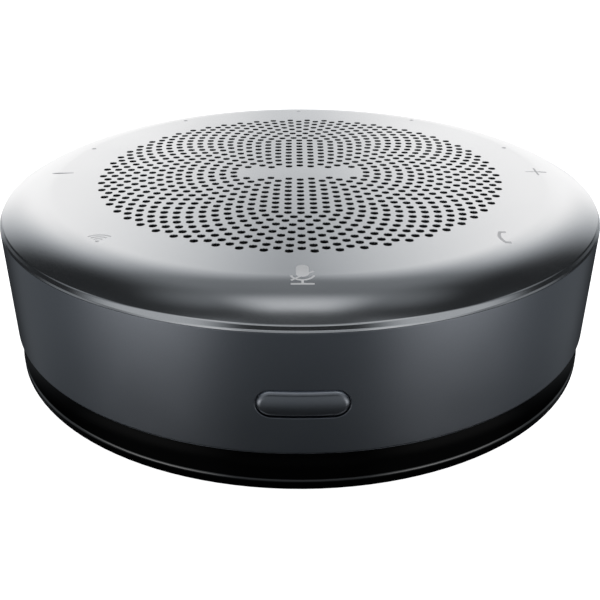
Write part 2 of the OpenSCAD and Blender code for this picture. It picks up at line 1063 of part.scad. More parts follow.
// Two short stiff leads from the loudspeaker's terminal down to their plug
module speaker_leads() {
    lead_l = basket_z - terminal_size[2] - board_top - plug_h;
    color("black")
        for (side = [-1, 1])
            translate([side * 1.5, speaker_lead_y, board_top + plug_h])
                cylinder(h = lead_l, r = 0.4, $fn = fn_wire);
}

// Ribbon from the touch board down through the deck and in to its connector
module touch_flex() {
    run_z = 14.2;
    plug_z = board_top + flex_plug_h;
    plug_r = flex_plug_r + 2;
    color("peru")
        rotate([0, 0, flex_angle])
            translate([0, flex_w / 2, 0])
                rotate([90, 0, 0])
                    linear_extrude(flex_w) {
                        translate([flex_r - flex_t, run_z])
                            square([flex_t, deck_z - run_z]);
                        translate([plug_r, run_z])
                            square([flex_r - plug_r, flex_t]);
                        translate([plug_r, plug_z])
                            square([flex_t, run_z + flex_t - plug_z]);
                    }
}

// Ribbon from the button board's lower edge back to its connector
module button_flex() {
    strip_y = switch_y + switch_t + 0.4;
    run_z = 12.4;
    color("peru")
        translate([button_flex_x, 0, 0])
            rotate([90, 0, 90])
                linear_extrude(button_flex_w) {
                    translate([strip_y, run_z])
                        square([flex_t, button_z - button_board_size[1] / 2 - run_z]);
                    translate([strip_y, run_z])
                        square([button_plug_y - strip_y, flex_t]);
                }
}

top_cover();
icon_inlays();
level_dots();
acoustic_cloth();
side_sleeve();
power_button();
switch_plunger();
button_switch();
button_board();
base_shell();
foot_ring();
base_screws();
inner_frame();
frame_screws();
touch_board();
touch_pads();
level_leds();
microphone_boots();
microphone_capsules();
speaker_basket();
speaker_gasket();
speaker_screws();
speaker_terminal();
magnet_top_plate();
magnet_ring();
magnet_yoke();
speaker_cone();
dust_cap();
voice_coil();
cone_surround();
coil_spider();
main_board();
board_screws();
audio_processor();
wireless_module();
shield_can();
board_connectors();
usb_socket();
battery_pack();
battery_pad();
battery_leads();
speaker_leads();
touch_flex();
button_flex();
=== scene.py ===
# Looks of a round conference speakerphone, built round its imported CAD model.
# Metres, +Z up, the front with the button faces -Y.

import math

import bpy
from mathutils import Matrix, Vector
from mathutils.geometry import delaunay_2d_cdt


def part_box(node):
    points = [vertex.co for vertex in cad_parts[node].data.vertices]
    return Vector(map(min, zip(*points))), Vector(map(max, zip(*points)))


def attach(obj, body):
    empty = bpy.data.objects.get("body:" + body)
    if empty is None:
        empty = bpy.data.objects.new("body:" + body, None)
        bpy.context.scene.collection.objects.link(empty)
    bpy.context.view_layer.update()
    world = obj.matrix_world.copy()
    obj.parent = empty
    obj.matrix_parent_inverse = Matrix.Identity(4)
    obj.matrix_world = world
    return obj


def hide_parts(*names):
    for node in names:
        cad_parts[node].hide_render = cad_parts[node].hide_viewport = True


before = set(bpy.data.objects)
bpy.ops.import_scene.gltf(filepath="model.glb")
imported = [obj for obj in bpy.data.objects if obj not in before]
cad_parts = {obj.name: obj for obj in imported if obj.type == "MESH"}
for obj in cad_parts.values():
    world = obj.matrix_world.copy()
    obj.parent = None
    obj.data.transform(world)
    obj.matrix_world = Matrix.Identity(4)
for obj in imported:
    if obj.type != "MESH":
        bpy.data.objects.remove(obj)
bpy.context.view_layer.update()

MM = 0.001
TURN = 2 * math.pi

# ---------- Sizes, from the CAD model's boxes ----------

COVER_LOW, COVER_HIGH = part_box("top_cover")
SLEEVE_LOW, SLEEVE_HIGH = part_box("side_sleeve")
BUTTON_LOW, BUTTON_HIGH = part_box("power_button")
SOCKET_LOW, SOCKET_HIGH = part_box("usb_socket")
CLOTH_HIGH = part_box("acoustic_cloth")[1]
DECK_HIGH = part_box("inner_frame")[1]
INLAY_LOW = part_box("icon_inlays")[0]

BODY_R = COVER_HIGH.x
TOP_Z = COVER_HIGH.z
UNDER_Z = CLOTH_HIGH.z
SEAM_Z = SLEEVE_HIGH.z
FOOT_Z = SLEEVE_LOW.z

# Cover: a flat top, a bowed shoulder, a crisp edge, a narrow bevel and a lip over the seam
FLAT_R = BODY_R - 11.3 * MM
EDGE_R = BODY_R - 0.55 * MM
EDGE_Z = TOP_Z - 3.7 * MM
SHOULDER_REACH = 4.9 * MM
LIP_W = 0.25 * MM
RIM_R = BODY_R - 1.7 * MM
RIM_T = 1.2 * MM
UNDER_FLAT_R = FLAT_R - 0.3 * MM
UNDER_REACH = 4.6 * MM
UNDER_DROP = 0.2 * MM
GRILLE_R = 46 * MM
POST_R = 2.2 * MM
POST_BORE_R = 1.0 * MM
POST_RING_R = 47.9 * MM
POST_ANGLES = (18, 90, 162, 234, 306)
POST_SUNK = 0.2 * MM
BORE_SHORT = 0.1 * MM

# Grille: rings of six more holes each, then rings of constant count, staggered by half a step
HOLE_R = 0.775 * MM
HOLE_BREAK = 0.07 * MM
INNER_PITCH = 2.44 * MM
INNER_RINGS = 10
OUTER_RINGS = 11
OUTER_PITCH = 2.17 * MM
PITCH_SHRINK = 0.097 * MM
LOZENGE = (13.4 * MM, 3.0 * MM)
DOT_RING_R = 52.2 * MM
DOT_R = 0.525 * MM
DOT_ANGLES = (20, 55, 90, 125, 160)

# Base: the middle and half the height of the bend where its lip turns into the skirt
LIP_Z = 2.63 * MM
LIP_HALF = 0.32 * MM

# Sleeve
SLEEVE_FOOT_R = BODY_R - 0.28 * MM
SLEEVE_IN_R = BODY_R - 1.6 * MM
HEM_R = BODY_R - 3 * MM
HEM_T = 1.2 * MM
BUTTON_GAP = 0.18 * MM
SOCKET_GAP = 0.2 * MM
OPENING_BREAK = 0.12 * MM

# Button cap: its rim lies behind the wall and is left out of the width and height of its face
BUTTON_RIM = 1.2 * MM
BUTTON_PLATE_T = 1.0 * MM
BUTTON_ROUND = 0.85 * MM
BUTTON_CROWN = 0.38 * MM
BUTTON_W = BUTTON_HIGH.x - BUTTON_LOW.x - 2 * BUTTON_RIM
BUTTON_H = BUTTON_HIGH.z - BUTTON_LOW.z - 2 * BUTTON_RIM
BUTTON_Z = (BUTTON_LOW.z + BUTTON_HIGH.z) / 2
FACE_R = -BUTTON_LOW.y

# How finely round shapes are divided
ROUND_STEPS = 360
ARC_STEPS = 16
SIDE_STEPS = 20

# Edges that turn by less than the first angle are shaded smooth, where a shape gives no normals
# of its own, and profiles that turn by less than the second one
SHARP = math.radians(35)
SMOOTH_COS = math.cos(math.radians(28))

# Triangles are worked out in millimetres, and points closer than this are one
WORK_SCALE = 1000
WELD = 1e-5


# ---------- Shapes ----------

def circle(centre, radius, steps):
    """Points of a circle in plan, anticlockwise."""
    return [
        (
            centre[0] + radius * math.cos(TURN * i / steps),
            centre[1] + radius * math.sin(TURN * i / steps),
        )
        for i in range(steps)
    ]


def polar(radius, degrees):
    """Place in plan at a radius and an angle."""
    angle = math.radians(degrees)
    return (radius * math.cos(angle), radius * math.sin(angle))


def bend(start, control, end, t):
    """Point of the curve that leaves start towards control and reaches end from there."""
    return tuple(
        a * (1 - t) ** 2 + 2 * b * t * (1 - t) + c * t * t
        for a, b, c in zip(start, control, end)
    )


def toward(start, end, share):
    """Point at a share of the way from start to end."""
    return tuple(a + (b - a) * share for a, b in zip(start, end))


def bend_points(start, control, end, steps):
    """Points along the curve, with both its ends."""
    return [bend(start, control, end, i / steps) for i in range(steps + 1)]


def stadium(width, height):
    """Outline with two half-round ends, lying along X, anticlockwise."""
    reach = (width - height) / 2
    points = []
    for turn in (-1, 1):
        start = turn * math.pi / 2
        for i in range(ARC_STEPS):
            angle = start + math.pi * i / ARC_STEPS
            along = -turn * reach + height / 2 * math.cos(angle)
            points.append((along, height / 2 * math.sin(angle)))
        for i in range(SIDE_STEPS):
            along = -turn * reach * (1 - 2 * i / SIDE_STEPS)
            points.append((along, -turn * height / 2))
    return points


def outward(outline):
    """Unit normals of a closed outline, pointing away from its inside."""
    normals = []
    for i, point in enumerate(outline):
        before = outline[i - 1]
        after = outline[(i + 1) % len(outline)]
        along = Vector((after[0] - before[0], after[1] - before[1]))
        normals.append((along.y / along.length, -along.x / along.length))
    return normals


def grown(outline, width):
    """Closed outline moved outwards by a width."""
    return [(x + nx * width, z + nz * width) for (x, z), (nx, nz) in zip(outline, outward(outline))]


def area(outline):
    """Signed area of a closed outline."""
    return sum(a[0] * b[1] - b[0] * a[1] for a, b in zip(outline, outline[1:] + outline[:1])) / 2


class Skin:
    """The points, faces and corner normals of one mesh, welded where points meet."""

    def __init__(self):
        self.points = []
        self.index = {}
        self.faces = []
        self.normals = []

    def add(self, point):
        """Number of a point, which is new unless one is there already."""
        key = tuple(round(c, 8) + 0.0 for c in point)
        if key not in self.index:
            self.index[key] = len(self.points)
            self.points.append(Vector(point))
        return self.index[key]

    def face(self, corners, normals=None):
        """One face from its corner points. Corners that fell together are dropped."""
        ids = [self.add(p) for p in corners]
        keep = [k for k, i in enumerate(ids) if i != ids[k - 1]]
        if len(keep) < 3:
            return
        self.faces.append([ids[k] for k in keep])
        self.normals.append([normals[k] for k in keep] if normals else None)

    def band(self, low, high, low_normals, high_normals):
        """Quads between two closed loops of equal count."""
        count = len(low)
        for i in range(count):
            j = (i + 1) % count
            self.face(
                (low[i], low[j], high[j], high[i]),
                (low_normals[i], low_normals[j], high_normals[j], high_normals[i]),
            )

    def revolve(self, profile, steps=ROUND_STEPS, at=(0, 0)):
        """Turns a profile of (radius, height) points round a vertical axis.

        The outside is on the right of the profile."""
        edges = [Vector(b) - Vector(a) for a, b in zip(profile, profile[1:])]
        flats = [Vector((e.y, -e.x)).normalized() for e in edges]

        def loop(point, normal):
            turns = [TURN * i / steps for i in range(steps)]
            places = [
                (at[0] + point[0] * math.cos(a), at[1] + point[0] * math.sin(a), point[1])
                for a in turns
            ]
            normals = [(normal.x * math.cos(a), normal.x * math.sin(a), normal.y) for a in turns]
            return places, normals

        def shade(k, other):
            """Normal of edge k where it meets its neighbour: shared if the turn is slight."""
            if 0 <= other < len(flats) and flats[k].dot(flats[other]) > SMOOTH_COS:
                return (flats[k] + flats[other]).normalized()
            return flats[k]

        for k in range(len(edges)):
            low, low_normals = loop(profile[k], shade(k, k - 1))
            high, high_normals = loop(profile[k + 1], shade(k, k + 1))
            self.band(low, high, low_normals, high_normals)

    def build(self, name, material, body, replaced):
        """The piece, which rides on a body and stands in for a CAD node."""
        mesh = bpy.data.meshes.new(name)
        mesh.from_pydata(self.points, [], self.faces)
        mesh.polygons.foreach_set("use_smooth", [True] * len(mesh.polygons))
        if any(self.normals):
            corners = []
            for polygon, given in zip(mesh.polygons, self.normals):
                corners += given or [polygon.normal.copy()] * polygon.loop_total
            mesh.normals_split_custom_set(corners)
        else:
            mesh.set_sharp_from_angle(angle=SHARP)
        mesh.materials.append(material)
        piece = bpy.data.objects.new(name, mesh)
        bpy.context.scene.collection.objects.link(piece)
        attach(piece, body)
        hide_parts(replaced)


def triangulate(free, loops, patches=()):
    """Triangles of the points' hull in plan. Loops stay open, and patches come back apart.

    Returns the points, the open mesh's triangles and the patches' triangles."""
    points = list(free)
    outlines = []
    for outline in [*loops, *patches]:
        outlines.append(range(len(points), len(points) + len(outline)))
        points += outline
    scaled = [Vector((p[0] * WORK_SCALE, p[1] * WORK_SCALE)) for p in points]
    found, _, faces, origins, _, owners = delaunay_2d_cdt(
        scaled, [], [list(o) for o in outlines], 0, WELD, True
    )
    places = [
        points[old[0]] if old else (new[0] / WORK_SCALE, new[1] / WORK_SCALE)
        for new, old in zip(found, origins)
    ]
    kept = [f for f, owner in zip(faces, owners) if not owner]
    filled = [f for f, owner in zip(faces, owners) if owner and min(owner) >= len(loops)]
    return places, kept, filled


# ---------- Cover ----------

SHOULDER = ((FLAT_R, TOP_Z), (FLAT_R + SHOULDER_REACH, TOP_Z), (EDGE_R, EDGE_Z))
UNDER_BEND = (
    (UNDER_FLAT_R, UNDER_Z),
    (FLAT_R + UNDER_REACH, UNDER_Z),
    (RIM_R - RIM_T, EDGE_Z - UNDER_DROP),
)
SHOULDER_STEPS = 26
UNDER_STEPS = 8
HOLE_STEPS = 18
POST_STEPS = 24

# Rings of points on the plain band between the grille and the shoulder: radius and count
PLAIN_RINGS = [(GRILLE_R + 0.6 * MM, 120), (GRILLE_R + 3.2 * MM, 180)]

# Rounding of the edges. The one between lip and bevel takes up these shares of the two.
EDGE_ROUND = 0.2 * MM
SEAM_ROUND = 0.1 * MM
LIP_SHARE = 0.2
BEVEL_SHARE = 0.08
LIP_STEPS = 4
EDGE_STEPS = 6


def along_bend(curve, radius):
    """Share of the way along a curve of (radius, height) at which it reaches a radius."""
    start, control, end = (p[0] for p in curve)
    square = start - 2 * control + end
    slope = control - start
    return (radius - start) / (slope + math.sqrt(slope * slope + square * (radius - start)))


def on_bend(curve, x, y):
    """Height and upward normal at a place in plan of a sheet that is flat, then bends down."""
    radius = math.hypot(x, y)
    start, control, end = curve
    if radius <= start[0]:
        return start[1], (0, 0, 1)
    t = along_bend(curve, radius)
    run = [2 * ((1 - t) * (b - a) + t * (c - b)) for a, b, c in zip(start, control, end)]
    size = math.hypot(*run)
    tilt = -run[1] / size
    return bend(start, control, end, t)[1], (tilt * x / radius, tilt * y / radius, run[0] / size)


def hole_centres():
    """Centres of the sound holes, with the plain lozenge in the middle left out."""
    centres = []
    for k in range(1, INNER_RINGS + 1):
        for i in range(6 * k):
            x, y = polar(k * INNER_PITCH, 90 + i * 60 / k)
            if abs(x) >= LOZENGE[0] or abs(y) >= LOZENGE[1]:
                centres.append((x, y))
    for k in range(1, OUTER_RINGS + 1):
        radius = INNER_RINGS * INNER_PITCH + k * OUTER_PITCH - PITCH_SHRINK * k * (k - 1) / 2
        for i in range(6 * INNER_RINGS):
            centres.append(polar(radius, 90 + (i + (k % 2) / 2) * 60 / INNER_RINGS))
    return centres


def inlay_outlines():
    """Plan outlines of the faces on which the icon inlays stand in their pockets."""
    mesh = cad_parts["icon_inlays"].data
    outlines = []
    for polygon in mesh.polygons:
        corners = [mesh.vertices[i].co for i in polygon.vertices]
        if all(abs(c.z - INLAY_LOW.z) < WELD * MM for c in corners):
            plan = [(c.x, c.y) for c in corners]
            outlines.append(plan if polygon.normal.z > 0 else plan[::-1])
    return outlines


def spread(rings):
    """Points in plan of rings that are given by radius and count."""
    return [p for radius, count in rings for p in circle((0, 0), radius, count)]


def cover_top(skin, holes, dots):
    """The upper face, open at the holes, with the pockets for the inlays sunk in it."""
    t_end = 1 - EDGE_ROUND / math.dist(SHOULDER[1], SHOULDER[2]) / 2
    shoulder = [bend(*SHOULDER, t_end * i / SHOULDER_STEPS)[0] for i in range(SHOULDER_STEPS + 1)]
    free = spread(PLAIN_RINGS + [(radius, ROUND_STEPS) for radius in shoulder])
    loops = [circle(c, HOLE_R + HOLE_BREAK, HOLE_STEPS) for c in holes]
    loops += [circle(c, DOT_R, HOLE_STEPS) for c in dots]
    places, kept, pockets = triangulate(free, loops, inlay_outlines())

    def lift(i):
        x, y = places[i]
        height, normal = on_bend(SHOULDER, x, y)
        return (x, y, height), normal

    for triangle in kept:
        points, normals = zip(*(lift(i) for i in triangle))
        skin.face(points, normals)
    sides = {}
    for a, b, c in pockets:
        skin.face([(*places[i], INLAY_LOW.z) for i in (a, b, c)])
        for edge in ((a, b), (b, c), (c, a)):
            sides[edge] = True
    for a, b in sides:
        if (b, a) not in sides:
            floor = [(*places[b], INLAY_LOW.z), (*places[a], INLAY_LOW.z)]
            skin.face([lift(a)[0], lift(b)[0], *floor])
    return shoulder[-1]


def cover_underside(skin, holes, dots):
    """The lower face, open at the holes."""
    bend_radii = [radius for radius, _ in bend_points(*UNDER_BEND, UNDER_STEPS)]
    free = spread(PLAIN_RINGS[:1] + [(radius, ROUND_STEPS) for radius in bend_radii])
    loops = [circle(c, HOLE_R, HOLE_STEPS) for c in holes]
    loops += [circle(c, DOT_R, HOLE_STEPS) for c in dots]
    places, kept, _ = triangulate(free, loops)
    for triangle in kept:
        points = []
        normals = []
        for i in triangle[::-1]:
            height, normal = on_bend(UNDER_BEND, *places[i])
            points.append((*places[i], height))
            normals.append(tuple(-c for c in normal))
        skin.face(points, normals)


def hole_wall(skin, centre, radius, edge_break):
    """Wall of a hole through the cover, with its upper edge broken."""
    inward = [
        (-math.cos(TURN * i / HOLE_STEPS), -math.sin(TURN * i / HOLE_STEPS), 0)
        for i in range(HOLE_STEPS)
    ]
    top = [(*p, on_bend(SHOULDER, *p)[0]) for p in circle(centre, radius + edge_break, HOLE_STEPS)]
    neck = [(*p, on_bend(SHOULDER, *p)[0] - edge_break) for p in circle(centre, radius, HOLE_STEPS)]
    foot = [(*p, on_bend(UNDER_BEND, *p)[0]) for p in circle(centre, radius, HOLE_STEPS)]
    if edge_break:
        slant = [Vector((x, y, 1)).normalized() for x, y, _ in inward]
        skin.band(top, neck, slant, slant)
    skin.band(neck, foot, inward, inward)


def make_cover(material):
    """Perforated cover with its bowed shoulder, bevel, inner rim and screw posts."""
    skin = Skin()
    holes = hole_centres()
    dots = [polar(DOT_RING_R, angle) for angle in DOT_ANGLES]
    shoulder_end = cover_top(skin, holes, dots)
    cover_underside(skin, holes, dots)
    for centre in holes:
        hole_wall(skin, centre, HOLE_R, HOLE_BREAK)
    for centre in dots:
        hole_wall(skin, centre, DOT_R, 0)

    lip_foot = (BODY_R, SEAM_Z + SEAM_ROUND)
    lip_top = (BODY_R - LIP_W, SEAM_Z + SEAM_ROUND + LIP_W)
    edge = (EDGE_R, EDGE_Z)
    below_edge = toward(edge, lip_top, EDGE_ROUND / math.dist(edge, lip_top))
    above_edge = (shoulder_end, on_bend(SHOULDER, shoulder_end, 0)[0])
    low_lip = toward(lip_top, lip_foot, LIP_SHARE)
    high_lip = toward(lip_top, edge, BEVEL_SHARE)
    skin.revolve(
        [UNDER_BEND[2], (RIM_R - RIM_T, COVER_LOW.z), (RIM_R, COVER_LOW.z), (RIM_R, SEAM_Z)]
        + bend_points((BODY_R - SEAM_ROUND, SEAM_Z), (BODY_R, SEAM_Z), lip_foot, LIP_STEPS)
        + bend_points(low_lip, lip_top, high_lip, LIP_STEPS)
        + bend_points(below_edge, edge, above_edge, EDGE_STEPS)
    )
    bore_top = UNDER_Z - BORE_SHORT
    post_top = UNDER_Z + POST_SUNK
    post = [
        (0, bore_top),
        (POST_BORE_R, bore_top),
        (POST_BORE_R, DECK_HIGH.z),
        (POST_R, DECK_HIGH.z),
        (POST_R, post_top),
        (0, post_top),
    ]
    for angle in POST_ANGLES:
        skin.revolve(post, steps=POST_STEPS, at=polar(POST_RING_R, angle))
    skin.build("perforated_cover", material, "housing", "top_cover")


# ---------- Sleeve ----------

SLEEVE_CORNER = 0.45 * MM
SLEEVE_ROUND = 0.12 * MM
WALL_LOW = FOOT_Z + SLEEVE_CORNER
WALL_HIGH = SEAM_Z - SLEEVE_ROUND
WALL_COLUMNS = 240
WALL_ROWS = 6
TOP_EDGE_STEPS = 6
FOOT_EDGE_STEPS = 8
OPENING_STEPS = 4


def sleeve_radius(z):
    """Radius of the tapered outer wall at a height."""
    share = (z - WALL_LOW) / (WALL_HIGH - WALL_LOW)
    return SLEEVE_FOOT_R + (BODY_R - SLEEVE_FOOT_R) * share


def on_wall(x, z, radius, side):
    """Point of the round wall at a place seen from the front or the rear."""
    return (x, side * math.sqrt(radius * radius - x * x), z)


def wall_face(skin, openings, radius_at, low, high, facing):
    """One face of the round wall, with its openings: outlines of (x, z) and the side they are on.

    Facing is 1 for the outer face and -1 for the inner one."""
    columns = [TURN * i / WALL_COLUMNS for i in range(WALL_COLUMNS + 1)]
    rows = [low + (high - low) * i / WALL_ROWS for i in range(WALL_ROWS + 1)]
    place = {}

    def unrolled(point):
        flat = (math.atan2(point[1], point[0]) % TURN * BODY_R, point[2])
        place[flat] = point
        return flat

    free = []
    for z in rows:
        radius = radius_at(z)
        for angle in columns:
            flat = (angle * BODY_R, z)
            place[flat] = (radius * math.cos(angle), radius * math.sin(angle), z)
            free.append(flat)
    loops = [
        [unrolled(on_wall(x, z, radius_at(z), side)) for x, z in outline]
        for outline, side in openings
    ]
    loops = [loop if area(loop) > 0 else loop[::-1] for loop in loops]
    places, kept, _ = triangulate(free, loops)
    for triangle in kept:
        corners = [place[places[i]] for i in (triangle if facing > 0 else triangle[::-1])]
        normals = []
        for x, y, _ in corners:
            radius = math.hypot(x, y)
            normals.append((facing * x / radius, facing * y / radius, 0))
        skin.face(corners, normals)


def shifted(outline, centre_z):
    """Outline of (x, z) raised to a height."""
    return [(x, z + centre_z) for x, z in outline]


def opening_wall(skin, outline, side):
    """Wall of an opening cut straight through the sleeve, with its outer edge rounded."""
    away = outward(outline)
    rings = []
    for k in range(OPENING_STEPS + 1):
        angle = math.pi / 2 * k / OPENING_STEPS
        grow = OPENING_BREAK * (1 - math.sin(angle))
        sink = OPENING_BREAK * (1 - math.cos(angle))
        points = []
        normals = []
        for (x, z), (nx, nz) in zip(outline, away):
            px, pz = x + nx * grow, z + nz * grow
            points.append(on_wall(px, pz, sleeve_radius(pz) - sink, side))
            face_out = Vector((points[-1][0], points[-1][1], 0)).normalized()
            normals.append(face_out * math.cos(angle) - Vector((nx, 0, nz)) * math.sin(angle))
        rings.append((points, normals))
    inner = [on_wall(x, z, SLEEVE_IN_R, side) for x, z in outline]
    rings.append((inner, rings[-1][1]))
    for (low, low_normals), (high, high_normals) in zip(rings, rings[1:]):
        if side < 0:
            skin.band(low, high, low_normals, high_normals)
        else:
            skin.band(high, low, high_normals, low_normals)


def make_sleeve(material):
    """Tapered side wall with the button's opening in front and the socket's behind."""
    skin = Skin()
    button_hole = stadium(BUTTON_W + 2 * BUTTON_GAP, BUTTON_H + 2 * BUTTON_GAP)
    socket_z = (SOCKET_LOW.z + SOCKET_HIGH.z) / 2
    socket_w = SOCKET_HIGH.x - SOCKET_LOW.x + 2 * SOCKET_GAP
    socket_h = SOCKET_HIGH.z - SOCKET_LOW.z + 2 * SOCKET_GAP
    openings = [
        (shifted(button_hole, BUTTON_Z), -1),
        (shifted(stadium(socket_w, socket_h), socket_z), 1),
    ]
    broken = [(grown(outline, OPENING_BREAK), side) for outline, side in openings]
    wall_face(skin, broken, sleeve_radius, WALL_LOW, WALL_HIGH, 1)
    wall_face(skin, openings, lambda z: SLEEVE_IN_R, FOOT_Z + HEM_T, SEAM_Z, -1)
    for outline, side in openings:
        opening_wall(skin, outline, side)
    top_edge = bend_points(
        (BODY_R, WALL_HIGH), (BODY_R, SEAM_Z), (BODY_R - SLEEVE_ROUND, SEAM_Z), TOP_EDGE_STEPS
    )
    skin.revolve(top_edge + [(SLEEVE_IN_R, SEAM_Z)], steps=WALL_COLUMNS)
    hem = [(SLEEVE_IN_R, FOOT_Z + HEM_T), (HEM_R, FOOT_Z + HEM_T), (HEM_R, FOOT_Z)]
    foot_edge = bend_points(
        (SLEEVE_FOOT_R - SLEEVE_CORNER, FOOT_Z),
        (SLEEVE_FOOT_R, FOOT_Z),
        (SLEEVE_FOOT_R, WALL_LOW),
        FOOT_EDGE_STEPS,
    )
    skin.revolve(hem + foot_edge, steps=WALL_COLUMNS)
    skin.build("tapered_sleeve", material, "housing", "side_sleeve")


# ---------- Button ----------

FACE_LOOPS = 6
ROLL_STEPS = 8


def make_button(material):
    """Pill-shaped cap: its face follows the round wall and rolls over into its side."""
    skin = Skin()
    plate_y = BUTTON_HIGH.y - BUTTON_PLATE_T

    def loop(inset, depth):
        """Outline drawn in by inset and sunk below the face by depth."""
        points = []
        for x, z in stadium(BUTTON_W - 2 * inset, BUTTON_H - 2 * inset):
            crown = BUTTON_CROWN * (2 * z / BUTTON_H) ** 2
            points.append((x, depth + crown - math.sqrt(FACE_R * FACE_R - x * x), z + BUTTON_Z))
        return points

    def flat_loop(width, height, y):
        return [(x, y, z + BUTTON_Z) for x, z in stadium(width, height)]

    rim_w, rim_h = BUTTON_W + 2 * BUTTON_RIM, BUTTON_H + 2 * BUTTON_RIM
    rings = [
        flat_loop(rim_w - rim_h, 0, BUTTON_HIGH.y),
        flat_loop(rim_w, rim_h, BUTTON_HIGH.y),
        flat_loop(rim_w, rim_h, plate_y),
        flat_loop(BUTTON_W, BUTTON_H, plate_y),
    ]
    for k in range(ROLL_STEPS + 1):
        angle = math.pi / 2 * k / ROLL_STEPS
        inset = BUTTON_ROUND * (1 - math.cos(angle))
        rings.append(loop(inset, BUTTON_ROUND * (1 - math.sin(angle))))
    for k in range(1, FACE_LOOPS + 1):
        rings.append(loop(BUTTON_ROUND + (BUTTON_H / 2 - BUTTON_ROUND) * k / FACE_LOOPS, 0))
    for low, high in zip(rings, rings[1:]):
        for i in range(len(low)):
            j = (i + 1) % len(low)
            skin.face((low[i], low[j], high[j], high[i]))
    skin.build("power_button_cap", material, "button", "power_button")


# ---------- Materials ----------

PACKED = "packed_"

# The button's bright-cut edge, made brighter than its face as a painted highlight along the rim: how
# far inside the face's radius the cut starts and is full, and how many times brighter than the face
# it is
CUT_HIGHLIGHT_START = 0.38 * MM
CUT_HIGHLIGHT_FULL = 0.62 * MM
CUT_HIGHLIGHT_GAIN = 3.0

# Specular level of the base's skirt, turned almost off as painted shade under the body, and of
# what is polished, and how far down a face's normal points for the face to count as the underside
SKIRT_SHADE_SHINE = 0.02
FULL_SHINE = 1.0
UNDERSIDE = -0.7


def set_input(node, name, value):
    """Gives an input of a node a fixed value."""
    node.inputs[name].default_value = value


def put(tree, value, target):
    """Gives an input a number, or a link from another node's output."""
    if isinstance(value, (int, float)):
        target.default_value = value
    else:
        tree.links.new(value, target)


def maths(tree, operation, *values):
    """Result of an operation on numbers and outputs."""
    made = tree.nodes.new("ShaderNodeMath")
    made.operation = operation
    for value, target in zip(values, made.inputs):
        put(tree, value, target)
    return made.outputs[0]


def rescaled(tree, value, before, after=(0, 1), smooth=False):
    """Value moved from one span to another and held at its ends."""
    made = tree.nodes.new("ShaderNodeMapRange")
    if smooth:
        made.interpolation_type = "SMOOTHSTEP"
    put(tree, value, made.inputs["Value"])
    for name, bound in zip(("From Min", "From Max", "To Min", "To Max"), (*before, *after)):
        set_input(made, name, bound)
    return made.outputs["Result"]


def tint(colour, factor=1.0):
    """Colour made darker or brighter by a factor, with its alpha."""
    return (*(min(1.0, c * factor) for c in colour), 1.0)


class Finish:
    """A principled material and the nodes that vary it over its surface."""

    def __init__(self, name, colour, roughness, metallic=0.0):
        self.material = bpy.data.materials.new(name)
        self.material.use_nodes = True
        self.tree = self.material.node_tree
        self.shader = self.tree.nodes["Principled BSDF"]
        self.colour = colour
        self.roughness = roughness
        self.height = None
        set_input(self.shader, "Base Color", tint(colour))
        set_input(self.shader, "Roughness", roughness)
        set_input(self.shader, "Metallic", metallic)
        self.place = self.node("ShaderNodeTexCoord").outputs["Object"]

    def node(self, kind, **settings):
        """New node with these values of inputs and settings."""
        made = self.tree.nodes.new(kind)
        for key, value in settings.items():
            if key in made.inputs:
                made.inputs[key].default_value = value
            else:
                setattr(made, key, value)
        return made

    def link(self, source, target):
        self.tree.links.new(source, target)

    def stretched(self, stretch):
        """Coordinates scaled by axis, for grain that runs one way."""
        mapping = self.node("ShaderNodeMapping", Scale=stretch)
        self.link(self.place, mapping.inputs["Vector"])
        return mapping.outputs["Vector"]

    def noise(self, size, detail=3.0, stretch=(1, 1, 1)):
        """Soft random pattern with features of about this size."""
        made = self.node("ShaderNodeTexNoise", Scale=1 / size, Detail=detail)
        self.link(self.stretched(stretch), made.inputs["Vector"])
        return made.outputs["Fac"]

    def stripes(self, size, direction="X", stretch=(1, 1, 1)):
        """Soft stripes across an axis, this far apart."""
        scale = math.pi / (size * 10)
        made = self.node("ShaderNodeTexWave", Scale=scale, bands_direction=direction)
        self.link(self.stretched(stretch), made.inputs["Vector"])
        return made.outputs["Fac"]

    def cells(self, size):
        """Round pits of about this size."""
        made = self.node("ShaderNodeTexVoronoi", Scale=1 / size)
        self.link(self.place, made.inputs["Vector"])
        return made.outputs["Distance"]

    def vary_roughness(self, pattern, amount):
        """Roughness from amount below its middle value to amount above it."""
        span = (max(0.02, self.roughness - amount), min(1.0, self.roughness + amount))
        level = rescaled(self.tree, pattern, (0.25, 0.75), span, smooth=True)
        self.link(level, self.shader.inputs["Roughness"])
        return self

    def vary_colour(self, pattern, darker, lighter):
        """Colour between a darker and a lighter tone of the base."""
        ramp = self.node("ShaderNodeValToRGB")
        dark, light = ramp.color_ramp.elements
        dark.position = 0.3
        light.position = 0.7
        dark.color = tint(self.colour, darker)
        light.color = tint(self.colour, lighter)
        self.link(pattern, ramp.inputs["Fac"])
        self.link(ramp.outputs["Color"], self.shader.inputs["Base Color"])
        return self

    def raise_by(self, pattern, depth, strength=0.5):
        """Relief of this depth in metres."""
        bump = self.node("ShaderNodeBump", Strength=strength, Distance=depth)
        self.link(pattern, bump.inputs["Height"])
        if self.height:
            self.link(self.height, bump.inputs["Normal"])
        self.height = bump.outputs["Normal"]
        self.link(self.height, self.shader.inputs["Normal"])
        return self


def blasted_metal(name, colour, roughness):
    """Bead-blasted and anodised: an even fine grain under a faint, broad cloudiness."""
    made = Finish(name, colour, roughness, metallic=1.0)
    made.vary_roughness(made.noise(18 * MM), 0.02)
    made.vary_colour(made.noise(0.35 * MM, detail=4.0), 0.97, 1.0)
    made.raise_by(made.noise(0.09 * MM, detail=2.0), 0.004 * MM, 0.3)
    return made


